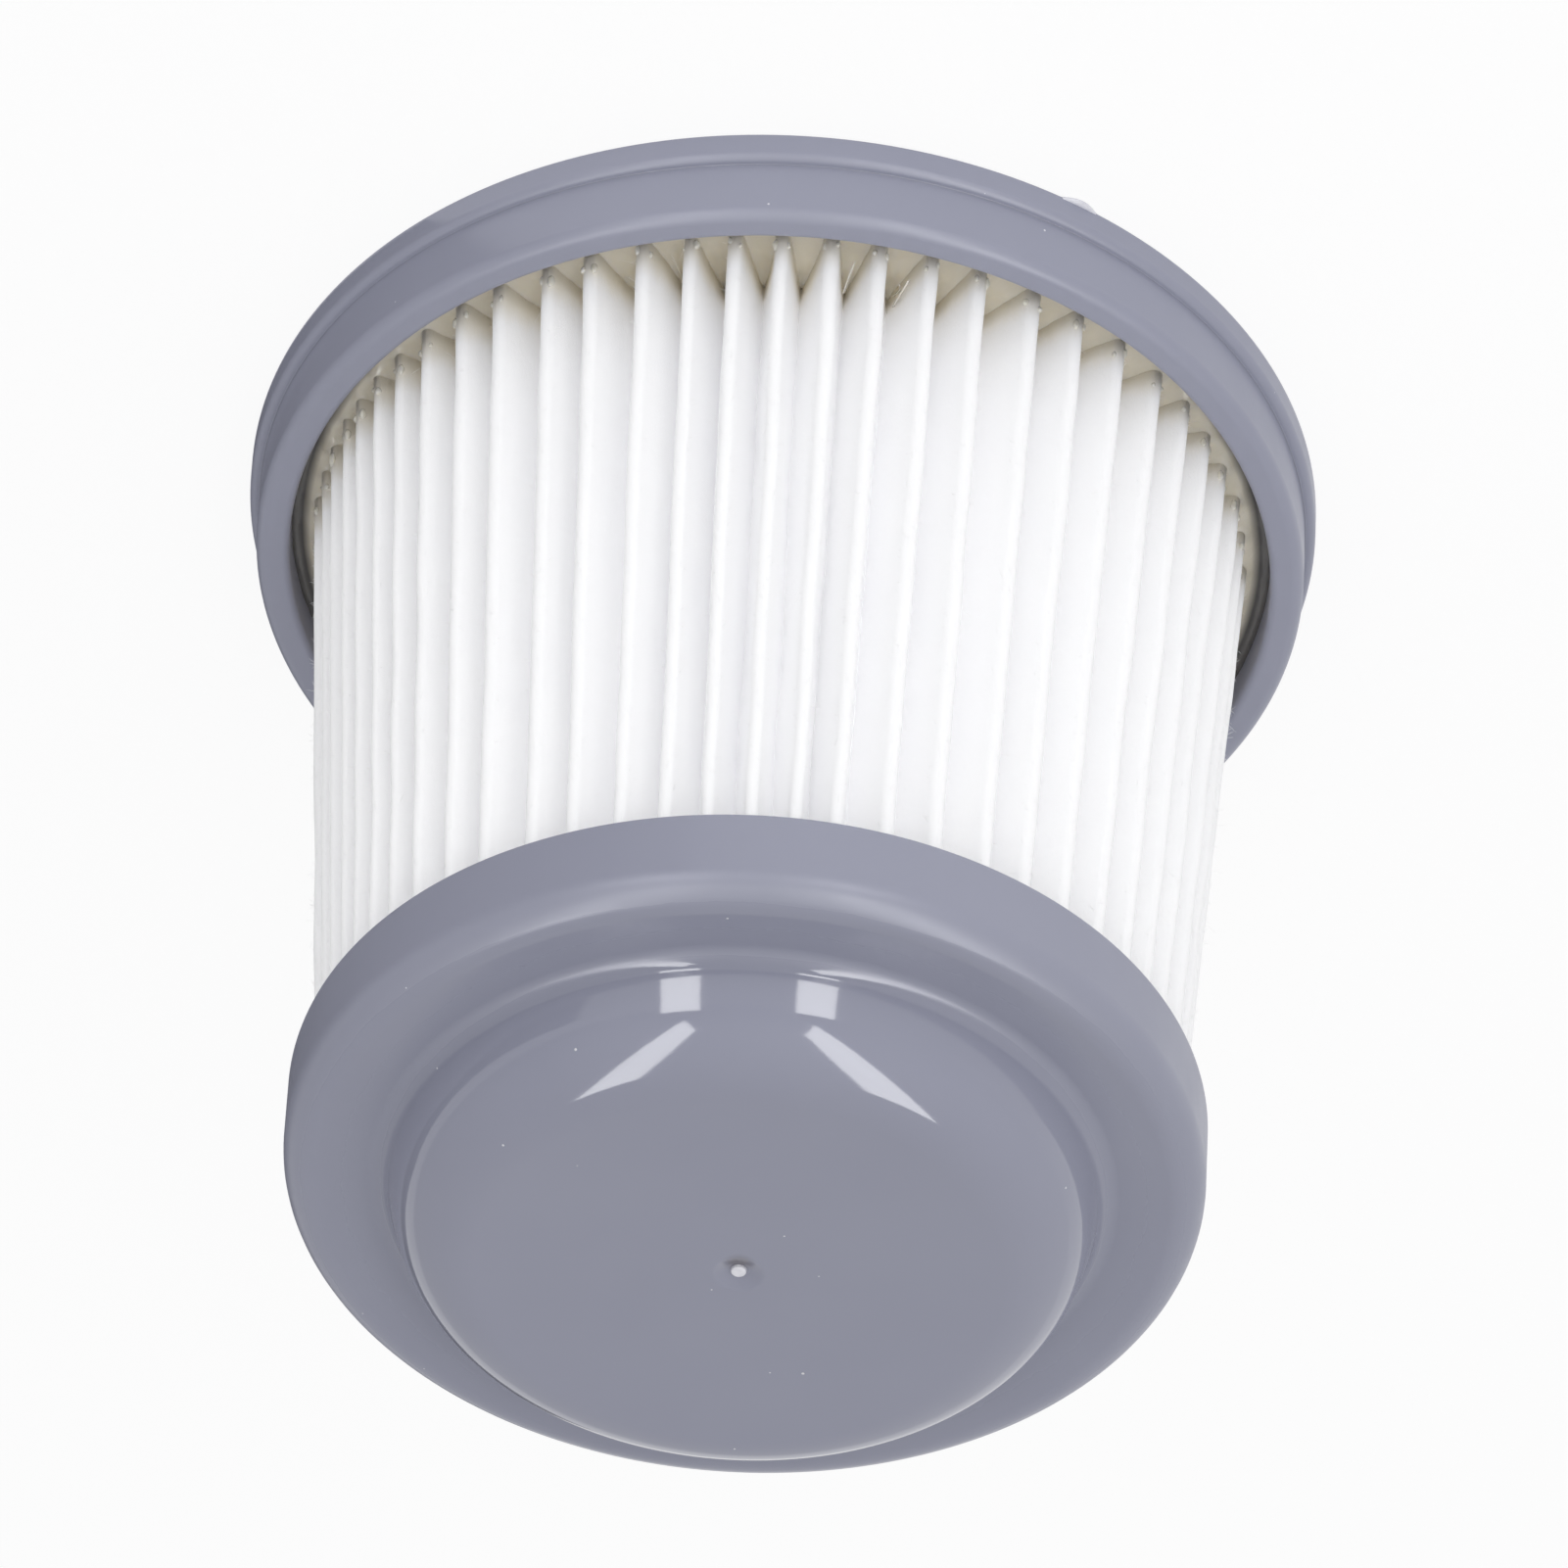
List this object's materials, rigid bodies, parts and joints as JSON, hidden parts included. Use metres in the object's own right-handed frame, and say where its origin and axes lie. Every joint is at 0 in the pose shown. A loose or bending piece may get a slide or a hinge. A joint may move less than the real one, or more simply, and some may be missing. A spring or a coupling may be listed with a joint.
{
  "type": "vacuum filter",
  "caption": "Pleated cartridge filter for a handheld vacuum: white conical media between an open grey flange ring and a closed grey cap with a raised dome.",
  "frame": {"origin": "middle of the open flange's flat underside, which the filter stands on", "axes": "+Z along the filter's axis, from the open flange to the domed cap; X and Y are free, as it is round"},
  "size_m": [0.102, 0.102, 0.0958],
  "materials": {
    "grey_plastic": "moulded gloss",
    "hot_melt": "translucent cream",
    "filter_media": "white nonwoven"
  },
  "bodies": {
    "root": {"flange_ring": "grey_plastic", "flange_potting": "hot_melt", "pleated_media": "filter_media", "cap_potting": "hot_melt", "end_cap": "grey_plastic"}
  },
  "joints": []
}
